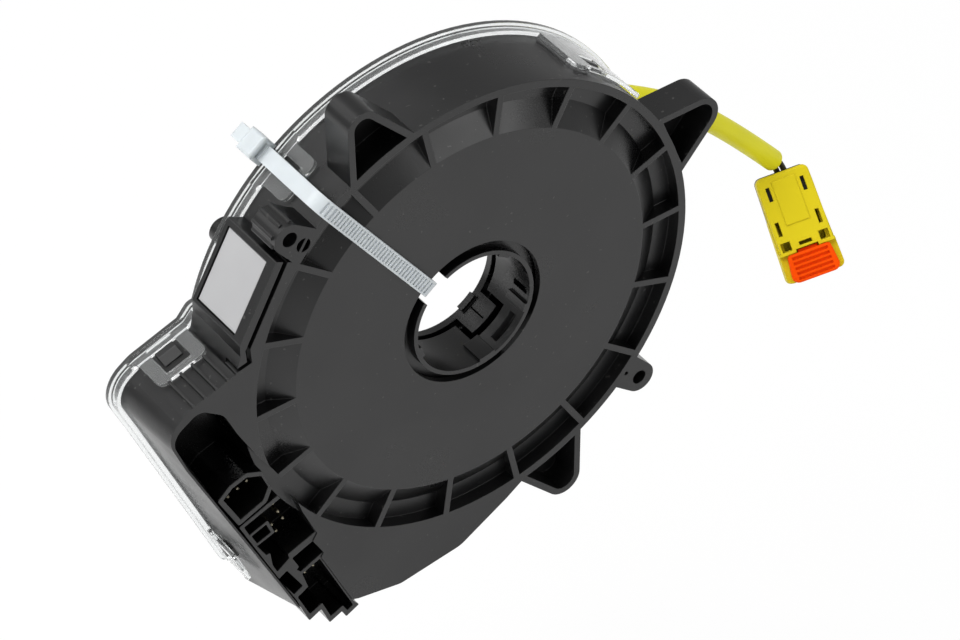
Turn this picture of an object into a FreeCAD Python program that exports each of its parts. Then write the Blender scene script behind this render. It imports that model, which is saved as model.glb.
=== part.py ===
"""Steering clock spring, made to be fixed by its two screw ears.

Millimetres. Row frame: the steering axis is Y, +Y points to the steering wheel,
-Y to the steering column, and Z is up. The origin is the bore centre on the flat
face of the round plate. Shapes are drawn in a build frame (x, y on that face,
z towards the column) and set() turns them into the row frame.
"""
import FreeCAD
import Part
import math
import os

V = FreeCAD.Vector

# Driving dimensions of the round case
RIM_R = 55.0
RIM_WALL = 1.8
PLATE_R = 43.7
HOLE_R = 17.1
PLATE_T = 1.6
TROUGH_DEPTH = 3.2
CASE_DEPTH = 19.8
RIB_COUNT = 18
RIB_T = 1.45
RIB_PHASE = 5.4
IN_PLANE_TURN = 37.06

# Driving dimensions of the clear cover
COVER_GAP = 0.3
SKIRT_T = 0.9
SKIRT_REAR = 2.1
COVER_LIP = 0.7
COVER_T = 1.0
COVER_HOLE_R = 33.0
SHOULDER_GAP = 0.3
WING_FROM = -2.5
WING_TO = 21.5
WING_CATCH = 13.5
WING_TIP = -4.6

# Driving dimensions of the connector well and its sockets
WELL_FLOOR = 12.0
WELL_DRAFT = 1.0
WELL_DRAFT_Z = 7.0
POCKET_DEPTH = 9.5
MOUTH = 0.2
FOOT_WALL = 1.4
FLOOR_T = 1.6
PIN_W = 0.64

# Driving dimensions of the rotor
BORE_R = 14.1
HUB_WALL = 1.6
ROTOR_R = 44.0
ROTOR_T = 2.4
ROTOR_GAP = 0.5
EDGE_T = 1.6
EDGE_H = 2.4
BORE_DEPTH = 14.5
RING_TOP = -0.5
RING_DEPTH = 11.5
RING_EDGE_T = 0.95
RING_LIP_R = 21.0
RING_FOOT_R = 17.0
RING_FOOT_T = 1.0
FINGER_COUNT = 3
FINGER_ANGLE = -91.0
FINGER_HALF = 15.5
FINGER_TOP = -7.2
FINGER_GAP = 5.4
FINGER_TOP_GAP = 5.5
RECESS_R = 27.5
DRUM_WALL = 1.6
WEB_T = 1.6
DRIVE_PIN_R = 41.2
DRIVE_PIN_ANGLE = 119.5
DRIVE_PIN_W = 6.0
DRIVE_PIN_TIP = -36.0

# Driving dimensions of the flat cable
TAPE_T = 0.35
TAPE_TURNS = 5
TAPE_HIGH = 6.2
TAPE_FLOOR_GAP = 2.0
TAPE_ANGLE = 205.0

# Driving dimensions of the blank label
LABEL_DEPTH = 0.8
LABEL_END = 1.0
LABEL_HIGH = 2.6
LABEL_T = 0.5

# Driving dimensions of the ears
EAR_HOLLOW_DEPTH = 6.6
EAR_WALL = 1.5

# Driving dimensions of the screws' holes
SCREW_REACH = 4.5
SCREW_HOLE_R = 1.7
SCREW_ANGLE = 100.5
EAR_DEPTH = 8.0

# Driving dimensions of the airbag lead and its plug
LEAD_R = 2.5
LEAD_Z = -30.0
SLEEVE_BORE = 3.0
WIRE_R = 0.675
WIRE_GAP = 0.85
WIRE_BEND = 4.05
PLUG_W = 13.6
PLUG_TAPER = 0.7
PLUG_L = 23.6
PLUG_REAR = -0.9
PLUG_T = 8.5
PLUG_SKIN = 1.3
PLUG_SHIFT = 0.45
PLUG_WIRE_DEPTH = 2.0
PLUG_COVER_L = 9.0
PLUG_SPLIT = -0.6
LOCK_Y0 = 17.4
LOCK_L = 6.5
LOCK_W = 11.6

# Driving dimensions of the shipping tie
TIE_W = 3.6
TIE_T = 1.2
TIE_X = -1.7
TIE_CLEAR = 0.3
TIE_SLACK = 0.9
TIE_BEND = 3.0
TIE_REAR = 0.15
TOOTH_PITCH = 1.1
HEAD_L = 4.8
HEAD_T = 3.9
HEAD_RIM = 0.9

# Driving dimensions of the wheel connector
SHELL_ANGLE = 215.0
SHELL_R = 35.6
SHELL_L = 24.0
SHELL_W = 9.6
SHELL_H = 11.0

COVER_TOP = -CASE_DEPTH
COVER_FRONT = -CASE_DEPTH - COVER_T
ROTOR_REAR = COVER_FRONT - ROTOR_GAP
ROTOR_FRONT = ROTOR_REAR - ROTOR_T
CHAMBER_R = RIM_R - RIM_WALL
DRAWN_R = 55.0
HUB_R = BORE_R + HUB_WALL
DRUM_R = RECESS_R + DRUM_WALL
SKIRT_EDGE = COVER_TOP + SKIRT_REAR
SHOULDER_Z = SKIRT_EDGE + SHOULDER_GAP
LABEL_LOW = SHOULDER_Z + LABEL_END
SCREW_R = RIM_R + SCREW_REACH
TAPE_LOW = CASE_DEPTH - TAPE_FLOOR_GAP
TAPE_R0 = DRUM_R + 1.3
HOLDER_R = CHAMBER_R - 1.1
TIE_IN = HOLE_R - 0.8
TIE_OUT = RIM_R + COVER_GAP + SKIRT_T + COVER_LIP + TIE_CLEAR + TIE_SLACK
TIE_FRONT = ROTOR_FRONT - TIE_CLEAR


def polar(r, degrees, z=0.0):
    """Point at radius r and angle in the build frame."""
    a = math.radians(degrees)
    return V(r * math.cos(a), r * math.sin(a), z)


def at_rim(x, y):
    """Point of an outline drawn for a rim of DRAWN_R, kept at its distance from the rim."""
    reach = math.hypot(x, y)
    k = (reach + RIM_R - DRAWN_R) / reach
    return x * k, y * k


def around(points):
    """Outline of (x, y, ...) points kept at its distance from the rim."""
    return [at_rim(p[0], p[1]) + tuple(p[2:]) for p in points]


def rounded_wire(points, z):
    """Closed wire at height z through (x, y, corner radius) points."""
    count = len(points)
    starts = []
    ends = []
    mids = []
    for i in range(count):
        p = V(points[i][0], points[i][1], z)
        a = V(points[i - 1][0], points[i - 1][1], z)
        b = V(points[(i + 1) % count][0], points[(i + 1) % count][1], z)
        r = points[i][2]
        ta = (a - p).normalize()
        tb = (b - p).normalize()
        half = ta.getAngle(tb) / 2.0
        cut = r / math.tan(half) if r > 0 else 0.0
        starts.append(p + ta * cut)
        ends.append(p + tb * cut)
        bis = ta + tb
        if r > 0 and bis.Length > 1e-6:
            bis.normalize()
            mids.append(p + bis * (r / math.sin(half) - r))
        else:
            mids.append(None)
    edges = []
    for i in range(count):
        if mids[i] is not None:
            edges.append(Part.Arc(starts[i], mids[i], ends[i]).toShape())
        nxt = starts[(i + 1) % count]
        if (nxt - ends[i]).Length > 1e-4:
            edges.append(Part.makeLine(ends[i], nxt))
    return Part.Wire(edges)


def slab(points, z0, z1):
    """Prism between heights z0 and z1 over (x, y, corner radius) points."""
    face = Part.Face(rounded_wire(points, z0))
    return face.extrude(V(0, 0, z1 - z0))


def disc(r, z0, z1, x=0.0, y=0.0):
    """Round bar between two heights."""
    low = min(z0, z1)
    return Part.makeCylinder(r, abs(z1 - z0), V(x, y, low))


def ring(r_out, r_in, z0, z1):
    """Flat ring between two heights."""
    return disc(r_out, z0, z1).cut(disc(r_in, min(z0, z1) - 1, max(z0, z1) + 1))


def block(x0, x1, y0, y1, z0, z1):
    """Box between two corners."""
    return Part.makeBox(x1 - x0, y1 - y0, z1 - z0, V(x0, y0, z0))


def turned(shape, degrees):
    """Copy of a shape turned about the steering axis."""
    out = shape.copy()
    out.rotate(V(0, 0, 0), V(0, 0, 1), degrees)
    return out


def fuse(shapes):
    """One solid from touching solids."""
    out = shapes[0]
    if len(shapes) > 1:
        out = out.multiFuse(shapes[1:])
    return out.removeSplitter()


def cut(shape, tools):
    """Shape without the tools' volume."""
    return shape.cut(Part.makeCompound(tools)) if len(tools) > 1 else shape.cut(tools[0])


def set_row(shape):
    """Turn from the build frame into the row frame."""
    out = shape.copy()
    out.rotate(V(0, 0, 0), V(0, 0, 1), IN_PLANE_TURN)
    out.rotate(V(0, 0, 0), V(1, 0, 0), 90)
    return out


def save(node, shapes):
    """Write a node's solids to its file and print their sizes."""
    solids = []
    for shape in shapes:
        solids.extend(set_row(shape).Solids)
    body = solids[0] if len(solids) == 1 else Part.makeCompound(solids)
    bb = body.BoundBox
    valid = all(s.isValid() and s.isClosed() for s in solids)
    print(node, "solids", len(solids), "volume", round(body.Volume, 1), "valid", valid,
          "box", [round(v, 2) for v in (bb.XMin, bb.XMax, bb.YMin, bb.YMax, bb.ZMin, bb.ZMax)])
    body.exportStep("parts/" + node + ".step")


# Outline of the side lobe: column-side x, y, wheel-side x, y, corner radius
LOBE = [at_rim(a, b) + at_rim(c, d) + (r,) for a, b, c, d, r in [
    (-10.0, -46.0, -10.0, -46.0, 0.0),
    (-21.0, -50.8, -21.0, -50.8, 0.0),
    (-27.3, -50.6, -27.3, -50.6, 8.0),
    (-41.2, -49.1, -41.0, -48.4, 6.0),
    (-55.2, -41.8, -55.5, -42.8, 4.0),
    (-62.9, -33.9, -66.0, -38.5, 3.0),
    (-71.7, -20.8, -76.3, -26.5, 3.0),
    (-67.5, 0.2, -70.0, -1.0, 20.0),
    (-60.4, 36.5, -61.6, 34.0, 8.0),
    (-57.6, 47.3, -58.6, 47.6, 6.0),
    (-50.9, 48.4, -50.9, 47.2, 4.0),
    (-38.9, 44.3, -38.9, 43.5, 0.5),
    (-35.3, 46.9, -35.3, 46.9, 0.5),
    (-33.6, 49.2, -33.6, 49.2, 0.8),
    (-15.9, 57.2, -15.9, 57.2, 0.8),
    (-13.5, 52.0, -13.5, 52.0, 0.0),
]]

# Corners of the wheel-side edge that leave the label's side wall out
SHORE = around([(-35.0, 44.4, 0.5), (-30.0, 30.0, 0.0)])

# Start of the clear skirt on the side wall, and its way back inside the case
SKIRT_START = around([(-50.0, -12.0, 0.0), (-73.4, -15.0, 0.3)])


def shore_outline():
    """Outline of the case at its wheel-side edge."""
    return [(p[2], p[3], p[4]) for p in LOBE[:12]] + SHORE


def skirt_outline():
    """Part of the wheel-side outline that the clear skirt covers."""
    return SKIRT_START + [(p[2], p[3], p[4]) for p in LOBE[7:12]] + SHORE


def lobe_body(inset):
    """Drafted prism over the lobe outline, moved inwards by inset."""
    lo = [(p[0], p[1], p[4]) for p in LOBE]
    hi = [(p[2], p[3], p[4]) for p in LOBE]
    if inset:
        lo = inset_points(lo, inset)
        hi = inset_points(hi, inset)
    a = rounded_wire(lo, 0.0)
    b = rounded_wire(hi, -CASE_DEPTH)
    return Part.makeLoft([a, b], True, True)


def inset_points(points, inset):
    """Outline moved by inset to the left of its travel, radii kept in step."""
    out = []
    count = len(points)
    area = 0.0
    for i in range(count):
        area += points[i - 1][0] * points[i][1] - points[i][0] * points[i - 1][1]
    side = 1.0 if area > 0 else -1.0
    for i in range(count):
        p = V(points[i][0], points[i][1], 0)
        a = V(points[i - 1][0], points[i - 1][1], 0)
        b = V(points[(i + 1) % count][0], points[(i + 1) % count][1], 0)
        da = (p - a).normalize()
        db = (b - p).normalize()
        na = V(-da.y, da.x, 0) * side
        nb = V(-db.y, db.x, 0) * side
        bis = (na + nb).normalize()
        grow = inset / max(0.25, bis.dot(na))
        q = p + bis * grow
        convex = (da.x * db.y - da.y * db.x) * side > 0
        r = points[i][2]
        if r > 0:
            r = max(0.2, r - inset) if convex else r + inset
        out.append((q.x, q.y, r))
    return out


def case_revolve():
    """Round plate, trough and rim wall in one turned profile."""
    slope_r = PLATE_R + 0.56 * (CHAMBER_R - PLATE_R)
    low = TROUGH_DEPTH + PLATE_T
    pts = [
        V(HOLE_R, 0, 0), V(PLATE_R, 0, 0), V(slope_r, 0, -TROUGH_DEPTH),
        V(CHAMBER_R, 0, -TROUGH_DEPTH), V(CHAMBER_R, 0, 0), V(RIM_R, 0, 0),
        V(RIM_R, 0, -CASE_DEPTH), V(CHAMBER_R, 0, -CASE_DEPTH), V(CHAMBER_R, 0, -low),
        V(slope_r - 0.6, 0, -low), V(PLATE_R - 0.6, 0, -PLATE_T), V(HOLE_R, 0, -PLATE_T),
        V(HOLE_R, 0, 0),
    ]
    face = Part.Face(Part.makePolygon(pts))
    return face.revolve(V(0, 0, 0), V(0, 0, 1), 360)


def case_ribs():
    """Radial ribs across the trough."""
    rib = block(PLATE_R - 1.0, CHAMBER_R + 0.6, -RIB_T / 2, RIB_T / 2, -TROUGH_DEPTH - 0.8, 0)
    return [turned(rib, RIB_PHASE + 360.0 / RIB_COUNT * k) for k in range(RIB_COUNT)]


def drop(base_a, base_b, cx, cy, r, inset, z0, z1):
    """Ear with two straight flanks that meet a round tip."""
    tip = V(cx, cy, 0)
    a0 = V(base_a[0], base_a[1], 0)
    b0 = V(base_b[0], base_b[1], 0)
    ta = tangent_point(a0, tip, r, b0)
    tb = tangent_point(b0, tip, r, a0)
    far = (tip - (a0 + b0) * 0.5).normalize() * r + tip
    wire = Part.Wire([Part.makeLine(a0, ta), Part.Arc(ta, far, tb).toShape(),
                      Part.makeLine(tb, b0), Part.makeLine(b0, a0)])
    if inset:
        wire = wire.makeOffset2D(-inset)
    face = Part.Face(wire)
    face.translate(V(0, 0, z0))
    return face.extrude(V(0, 0, z1 - z0))


def tangent_point(base, tip, r, other):
    """Touch point on the tip circle of the flank from base, on the side away from other."""
    gap = tip - base
    swing = math.asin(min(0.95, r / gap.Length))
    reach = math.cos(swing)
    first = base + turn2(gap, swing) * reach
    second = base + turn2(gap, -swing) * reach
    if (first - other).Length > (second - other).Length:
        return first
    return second


def turn2(vec, radians):
    """Flat vector turned about z."""
    c = math.cos(radians)
    s = math.sin(radians)
    return V(vec.x * c - vec.y * s, vec.x * s + vec.y * c, 0)


# Hollow ears: flank feet, tip centre, tip radius
HOLLOW_EARS = [(at_rim(*a), at_rim(*b), *at_rim(x, y), r) for a, b, x, y, r in [
    ((3.6, 53.4), (21.0, 49.2), 15.2, 63.0, 3.9),
    ((54.0, -5.0), (49.2, -22.9), 60.9, -15.6, 4.7),
    ((-22.6, -49.0), (-4.6, -53.2), -16.4, -61.4, 4.4),
]]


def case():
    """Black case: round plate, side lobe, ears and outer wall."""
    body = [case_revolve()] + case_ribs()
    lobe = lobe_body(0.0).cut(lobe_hollow()).cut(disc(RIM_R - 0.5, -CASE_DEPTH - 1, 1))
    body.append(lobe)
    lip = lip_wall()
    body.append(lip)
    for a, b, cx, cy, r in HOLLOW_EARS:
        ear = drop(a, b, cx, cy, r, 0.0, -EAR_HOLLOW_DEPTH - EAR_WALL, 0)
        body.append(ear.cut(disc(RIM_R - 0.5, -CASE_DEPTH, 1)))
    body.append(screw_ear(SCREW_ANGLE, 4.4, 3.4).cut(disc(RIM_R - 0.5, -CASE_DEPTH, 1)))
    body.extend(boss_ridges())
    body.append(screw_ear(SCREW_ANGLE + 180.0, 4.2, 3.6).cut(disc(RIM_R - 0.5, -CASE_DEPTH, 1)))
    shape = fuse(body)
    tools = []
    for a, b, cx, cy, r in HOLLOW_EARS:
        hollow = drop(a, b, cx, cy, r, EAR_WALL, -EAR_HOLLOW_DEPTH, 1)
        tools.append(hollow.cut(disc(RIM_R + 0.05, -CASE_DEPTH, 2)))
    for k in range(2):
        p = polar(SCREW_R, SCREW_ANGLE + 180.0 * k)
        tools.append(disc(SCREW_HOLE_R, -EAR_DEPTH - 2, 1, p.x, p.y))
    tools.append(long_slot())
    tools.append(well_upper())
    tools.extend(barred_hole())
    pin = polar(RIM_R, SCREW_ANGLE + 179.7)
    tools.append(disc(0.5, -3.0, 1, pin.x, pin.y))
    tools.append(label_recess())
    tools.append(cable_window())
    tools.append(shoulder())
    tools.append(socket_room())
    shape = cut(shape, tools)
    shape = fuse([shape] + wall_ribs() + catches())
    return shape


def shoulder():
    """Space outside the wheel-side outline, where the clear skirt fits."""
    space = block(-90, 70, -70, 70, -CASE_DEPTH - 1, SHOULDER_Z)
    kept = slab(inset_points(shore_outline(), -0.15), -CASE_DEPTH - 2, SHOULDER_Z + 1)
    return space.cut(kept.fuse(disc(RIM_R, -CASE_DEPTH - 2, SHOULDER_Z + 1)))


def lip_wall():
    """Flat side wall in front of the label, from the lip down to the front edge."""
    pts = around([(-15.9, 57.2, 0.4), (-33.6, 49.2, 0.4), (-32.6, 45.5, 0.0),
                  (-14.0, 53.4, 0.0)])
    return slab(pts, -CASE_DEPTH, 0).cut(disc(RIM_R - 0.5, -CASE_DEPTH - 1, 1))


def label_panel(low, high, margin, inner, outer):
    """Upright panel along the label's wall, between two depths from the wall's face."""
    a = V(*at_rim(-17.2, 56.6), 0)
    b = V(*at_rim(-32.9, 49.5), 0)
    along = (b - a).normalize()
    out = V(along.y, -along.x, 0)
    if out.dot(a) < 0:
        out = out * -1.0
    a = a + along * margin
    b = b - along * margin
    corners = [a + out * inner, b + out * inner, b + out * outer, a + out * outer]
    return slab([(p.x, p.y, 0.0) for p in corners], low, high)


def label_recess():
    """Shallow recess of the side wall for the blank label."""
    return label_panel(LABEL_LOW, -LABEL_HIGH, 0.0, -LABEL_DEPTH, 3.0)


def side_label():
    """Blank light label in the side wall's recess."""
    return label_panel(LABEL_LOW + 0.3, -LABEL_HIGH - 0.3, 0.3, -LABEL_DEPTH,
                       LABEL_T - LABEL_DEPTH)


def long_slot():
    """Narrow slot between the rim and the lip."""
    pts = [(-13.9, 54.9, 0.3), (-32.9, 46.1, 0.3), (-34.9, 43.0, 0.3), (-38.7, 44.6, 0.0),
           (-38.3, 45.5, 0.0), (-35.4, 44.3, 0.3), (-33.8, 46.9, 0.3), (-14.4, 56.0, 0.3)]
    return slab(around(pts), -4.2, 1)


def barred_hole():
    """Locating hole beside the screw hole, crossed by a thin bar."""
    p = polar(RIM_R + 0.25, SCREW_ANGLE)
    hole = disc(1.65, -2.4, 1, p.x, p.y)
    bar = block(-2.5, 2.5, -0.3, 0.3, -3.0, 1.5)
    bar.rotate(V(0, 0, 0), V(0, 0, 1), SCREW_ANGLE - 80.0)
    bar.translate(V(p.x, p.y, 0))
    return hole.cut(bar).Solids


def screw_ear(degrees, half_foot, r):
    """Solid screw ear outside the rim."""
    tip = polar(SCREW_R + 0.2, degrees)
    a = polar(RIM_R - 1.2, degrees + math.degrees(half_foot / RIM_R))
    b = polar(RIM_R - 1.2, degrees - math.degrees(half_foot / RIM_R))
    return drop((b.x, b.y), (a.x, a.y), tip.x, tip.y, r, 0.0, -EAR_DEPTH, 0)


def boss_ridges():
    """Fine upright ridges round the tip of the first screw ear."""
    out = []
    for swing in (-64.0, -26.0, 22.0, 60.0):
        tip = polar(SCREW_R + 0.2, SCREW_ANGLE)
        p = tip + polar(3.3, SCREW_ANGLE + swing)
        out.append(disc(0.55, -EAR_DEPTH, -1.0, p.x, p.y))
    return out


# Edge of the plate along the connector well, from the upper corner down
WELL_EDGE = around([(-48.9, 45.6, 3.0), (-46.8, 39.0, 5.0), (-48.4, 32.0, 5.0), (-49.8, 22.9, 2.0),
             (-50.6, 13.0, 2.0), (-51.5, 7.6, 0.6), (-54.2, -0.3, 8.0), (-56.2, -8.6, 0.3),
             (-58.1, -9.3, 0.3), (-58.8, -14.5, 0.3), (-60.0, -15.0, 0.3), (-63.9, -33.0, 0.3)])

# Lower end of the well, round the socket housing's end
WELL_END = around([(-63.9, -35.8, 0.3), (-67.7, -35.1, 0.3), (-67.3, -32.8, 0.3), (-70.7, -32.1, 0.3),
            (-69.3, -26.9, 0.3), (-72.7, -26.3, 0.3)])

# Lower end of the room inside the socket housing's foot
FOOT_END = around([(-57.5, -13.0, 0.0), (-63.0, -32.6, 0.0), (-67.5, -31.2, 0.0), (-70.4, -25.0, 0.0)])

# Inner edge of the outer wall, from the end of the well up
WELL_OUT = around([(-70.7, -18.0, 0.3), (-67.05, 0.2, 10.0), (-59.95, 36.4, 6.0), (-57.2, 46.2, 4.0)])


def well_points():
    """Outline of the well at the plate."""
    return WELL_EDGE + WELL_END + WELL_OUT


def well_low_points():
    """Outline of the well below the slope of its outer wall."""
    inner = inset_points(well_points(), WELL_DRAFT)
    return WELL_EDGE + WELL_END + inner[-len(WELL_OUT):]


def well_upper():
    """Opening of the case over the connector well, its outer wall thicker with depth."""
    upper = rounded_wire([(x, y, 0.0) for x, y, r in well_points()], 0.0)
    lower = rounded_wire([(x, y, 0.0) for x, y, r in well_low_points()], -WELL_DRAFT_Z)
    zone = Part.makeLoft([lower, upper], True, True)
    deep = slab([(x, y, 0.0) for x, y, r in well_low_points()], -CASE_DEPTH - 1, -WELL_DRAFT_Z)
    zone = zone.fuse(deep).common(slab(well_points(), -CASE_DEPTH - 1, 0.0))
    zone = zone.cut(disc(RIM_R, -CASE_DEPTH - 2, -TROUGH_DEPTH))
    return zone.cut(disc(RIM_R - 4.5, -TROUGH_DEPTH, 2))


def socket_room():
    """Space of the socket housing and tower under the plate, with a fitting gap."""
    low = -WELL_FLOOR - 0.55
    room = slab(inset_points(HOUSING, -0.05), low, -PLATE_T)
    room = room.fuse(slab(inset_points(TOWER, -0.05), low, -PLATE_T))
    return room.cut(disc(RIM_R, low - 1, 1))


def lobe_hollow():
    """Inside of the lobe below its plate."""
    low = lobe_body(1.6)
    return low.common(block(-90, 10, -60, 70, -CASE_DEPTH - 1, -PLATE_T))


def wall_ribs():
    """Axial ribs on the upper side wall of the lobe."""
    out = []
    a = V(*at_rim(-38.9, 44.3), 0)
    b = V(*at_rim(-50.9, 48.2), 0)
    along = (b - a).normalize()
    normal = V(-along.y, along.x, 0)
    if normal.dot(a) < 0:
        normal = normal * -1.0
    for k in range(4):
        c = a + along * (1.5 + 2.9 * k)
        p = [c - normal * 0.4, c + along * 0.6 - normal * 0.4, c + along * 0.6 + normal * 0.8,
             c + normal * 0.8]
        out.append(slab([(q.x, q.y, 0.0) for q in p], -9.0, 0))
    return out


def catches():
    """Wedge catches that hold the cover's latch loops and its wing."""
    out = []
    for x, y, degrees, half, tip, window in LATCHES:
        out.append(catch_wedge(x, y, degrees, half - 3.9, COVER_TOP + 3.0, COVER_TOP + 6.4))
    foot = polar(RIM_R, WING_CATCH)
    out.append(catch_wedge(foot.x, foot.y, WING_CATCH, 2.0, -9.6, -6.2))
    return out


# Latch loops: foot x, y, outward angle, half width, height of tip and window over the plate
LATCHES = around([(-45.12, 46.07, 72.9, 6.1, 10.8, 9.0), (-71.7, -8.6, 166.1, 5.5, 10.8, 8.9),
                  (-1.35, 54.98, 91.4, 5.3, 10.0, 7.8)])


def latch_frame(shape, x, y, degrees):
    """Move a shape from a latch's own frame (outward +x) into the build frame."""
    out = shape.copy()
    out.rotate(V(0, 0, 0), V(0, 0, 1), degrees)
    out.translate(V(x, y, 0))
    return out


def catch_wedge(x, y, degrees, half, low, high):
    """One wedge catch."""
    reach = COVER_GAP + SKIRT_T - 0.1
    pts = [V(-1.6, -half, low), V(reach, -half, low), V(reach, -half, low + 1.4),
           V(0.0, -half, high), V(-1.6, -half, high), V(-1.6, -half, low)]
    wedge = Part.Face(Part.makePolygon(pts)).extrude(V(0, 2 * half, 0))
    return latch_frame(wedge, x, y, degrees)


def upright(points, x0, x1):
    """Panel between two distances along +x over (y, z, corner radius) points."""
    panel = slab(points, x0, x1)
    turn = FreeCAD.Matrix(0, 0, 1, 0, 1, 0, 0, 0, 0, 1, 0, 0, 0, 0, 0, 1)
    panel.Placement = FreeCAD.Placement(turn).multiply(panel.Placement)
    return panel


def cover_latch(x, y, degrees, half, tip, window):
    """Round-cornered loop with a window for its catch and a widened foot."""
    wide = half + 1.5
    end = COVER_TOP + tip
    outline = [(-wide, COVER_TOP, 0.0), (wide, COVER_TOP, 0.0), (wide, SKIRT_EDGE, 0.0),
               (half, SKIRT_EDGE, 1.4), (half, end, 1.6), (-half, end, 1.6),
               (-half, SKIRT_EDGE, 1.4), (-wide, SKIRT_EDGE, 0.0)]
    gap = half - 3.0
    low = COVER_TOP + 1.0
    high = COVER_TOP + window
    opening = [(-gap, low, 0.3), (gap, low, 0.3), (gap, high, 0.3), (-gap, high, 0.3)]
    x0 = COVER_GAP
    x1 = COVER_GAP + SKIRT_T
    tab = upright(outline, x0, x1).cut(upright(opening, x0 - 1, x1 + 1))
    return latch_frame(tab, x, y, degrees)


def cover_wing():
    """Wide curved tongue of the skirt with a window for its catch."""
    mid = (WING_FROM + WING_TO) / 2.0
    half = (RIM_R + COVER_GAP) * math.sin(math.radians((WING_TO - WING_FROM) / 2.0))
    outline = [(-half, COVER_TOP, 0.0), (half, COVER_TOP, 0.0), (half, WING_TIP, 1.8),
               (-half, WING_TIP, 1.8)]
    y = (RIM_R + COVER_GAP) * math.sin(math.radians(WING_CATCH - mid))
    window = [(y - 2.7, -10.6, 0.4), (y + 2.7, -10.6, 0.4), (y + 2.7, -5.9, 0.4),
              (y - 2.7, -5.9, 0.4)]
    panel = upright(outline, 50.0, 60.0).cut(upright(window, 49.0, 61.0))
    wall = ring(RIM_R + COVER_GAP + SKIRT_T, RIM_R + COVER_GAP, COVER_TOP, WING_TIP)
    return wall.common(turned(panel, mid))


def cover():
    """Clear cover: front plate, skirt, latch loops and wing."""
    outer = slab(inset_points(skirt_outline(), -COVER_GAP - SKIRT_T), COVER_TOP, SKIRT_EDGE)
    outer = outer.fuse(disc(RIM_R + COVER_GAP + SKIRT_T, COVER_TOP, SKIRT_EDGE))
    inner = slab(inset_points(shore_outline(), -COVER_GAP), COVER_TOP - 1, SKIRT_EDGE + 1)
    inner = inner.fuse(disc(RIM_R + COVER_GAP, COVER_TOP - 1, SKIRT_EDGE + 1))
    lip = COVER_GAP + SKIRT_T + COVER_LIP
    plate = slab(inset_points(skirt_outline(), -lip), COVER_FRONT, COVER_TOP)
    plate = plate.fuse(slab(inset_points(shore_outline(), 0.9), COVER_FRONT, COVER_TOP))
    plate = plate.fuse(disc(RIM_R + lip, COVER_FRONT, COVER_TOP))
    shape = outer.cut(inner).fuse(plate.cut(disc(COVER_HOLE_R, COVER_FRONT - 1, 0)))
    loops = [cover_latch(*row) for row in LATCHES]
    return fuse([shape, cover_wing()] + loops)


# Sockets of the connector block: outer shape, then pockets
TOWER = around([(-63.9, 12.4, 0.5), (-62.2, 22.6, 0.8), (-58.1, 23.0, 1.5), (-54.0, 21.6, 1.5),
         (-51.6, 17.6, 1.2), (-52.9, 12.6, 1.5), (-56.6, 10.6, 1.0)])
HOUSING = around([(-64.2, 11.9, 0.3), (-50.4, 8.2, 0.3), (-53.0, -0.3, 0.3), (-54.9, -8.6, 0.3),
           (-57.6, -14.6, 0.3), (-62.4, -31.0, 0.3), (-64.0, -35.6, 0.3), (-67.6, -35.0, 0.3),
           (-67.2, -32.7, 0.3), (-70.6, -32.0, 0.3), (-69.2, -26.8, 0.3), (-72.6, -26.2, 0.3),
           (-70.5, -17.5, 0.3)])
POCKETS = [around(outline) for outline in [
    [(-63.6, 10.8, 0.3), (-51.9, 7.3, 0.0), (-54.2, -0.3, 0.0), (-56.2, -8.0, 0.3),
     (-63.3, -6.0, 0.3), (-63.8, -7.2, 0.2), (-67.6, -7.1, 0.3), (-66.9, -4.4, 0.3),
     (-65.1, -1.2, 0.3), (-65.9, -0.7, 0.2), (-65.4, 3.5, 0.3)],
    [(-58.0, -9.4, 0.2), (-58.8, -14.4, 0.2), (-64.9, -13.1, 0.3), (-65.0, -11.6, 0.2),
     (-64.2, -11.5, 0.2), (-63.5, -7.9, 0.3)],
    [(-66.3, -9.3, 0.3), (-67.1, -16.7, 0.3), (-69.7, -16.4, 0.3), (-68.9, -9.0, 0.3)],
    [(-60.4, -15.1, 0.2), (-64.7, -34.2, 0.3), (-66.4, -33.9, 0.3), (-66.1, -31.6, 0.3),
     (-69.4, -30.9, 0.3), (-68.0, -25.6, 0.3), (-71.4, -24.9, 0.3), (-69.8, -17.9, 0.3),
     (-66.7, -18.3, 0.3), (-65.1, -13.9, 0.3)],
]]
KEY_BOX = around([(-64.9, 7.3, 0.2), (-59.8, 5.8, 0.3), (-61.0, 1.5, 0.3), (-65.8, 3.0, 0.2)])


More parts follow.
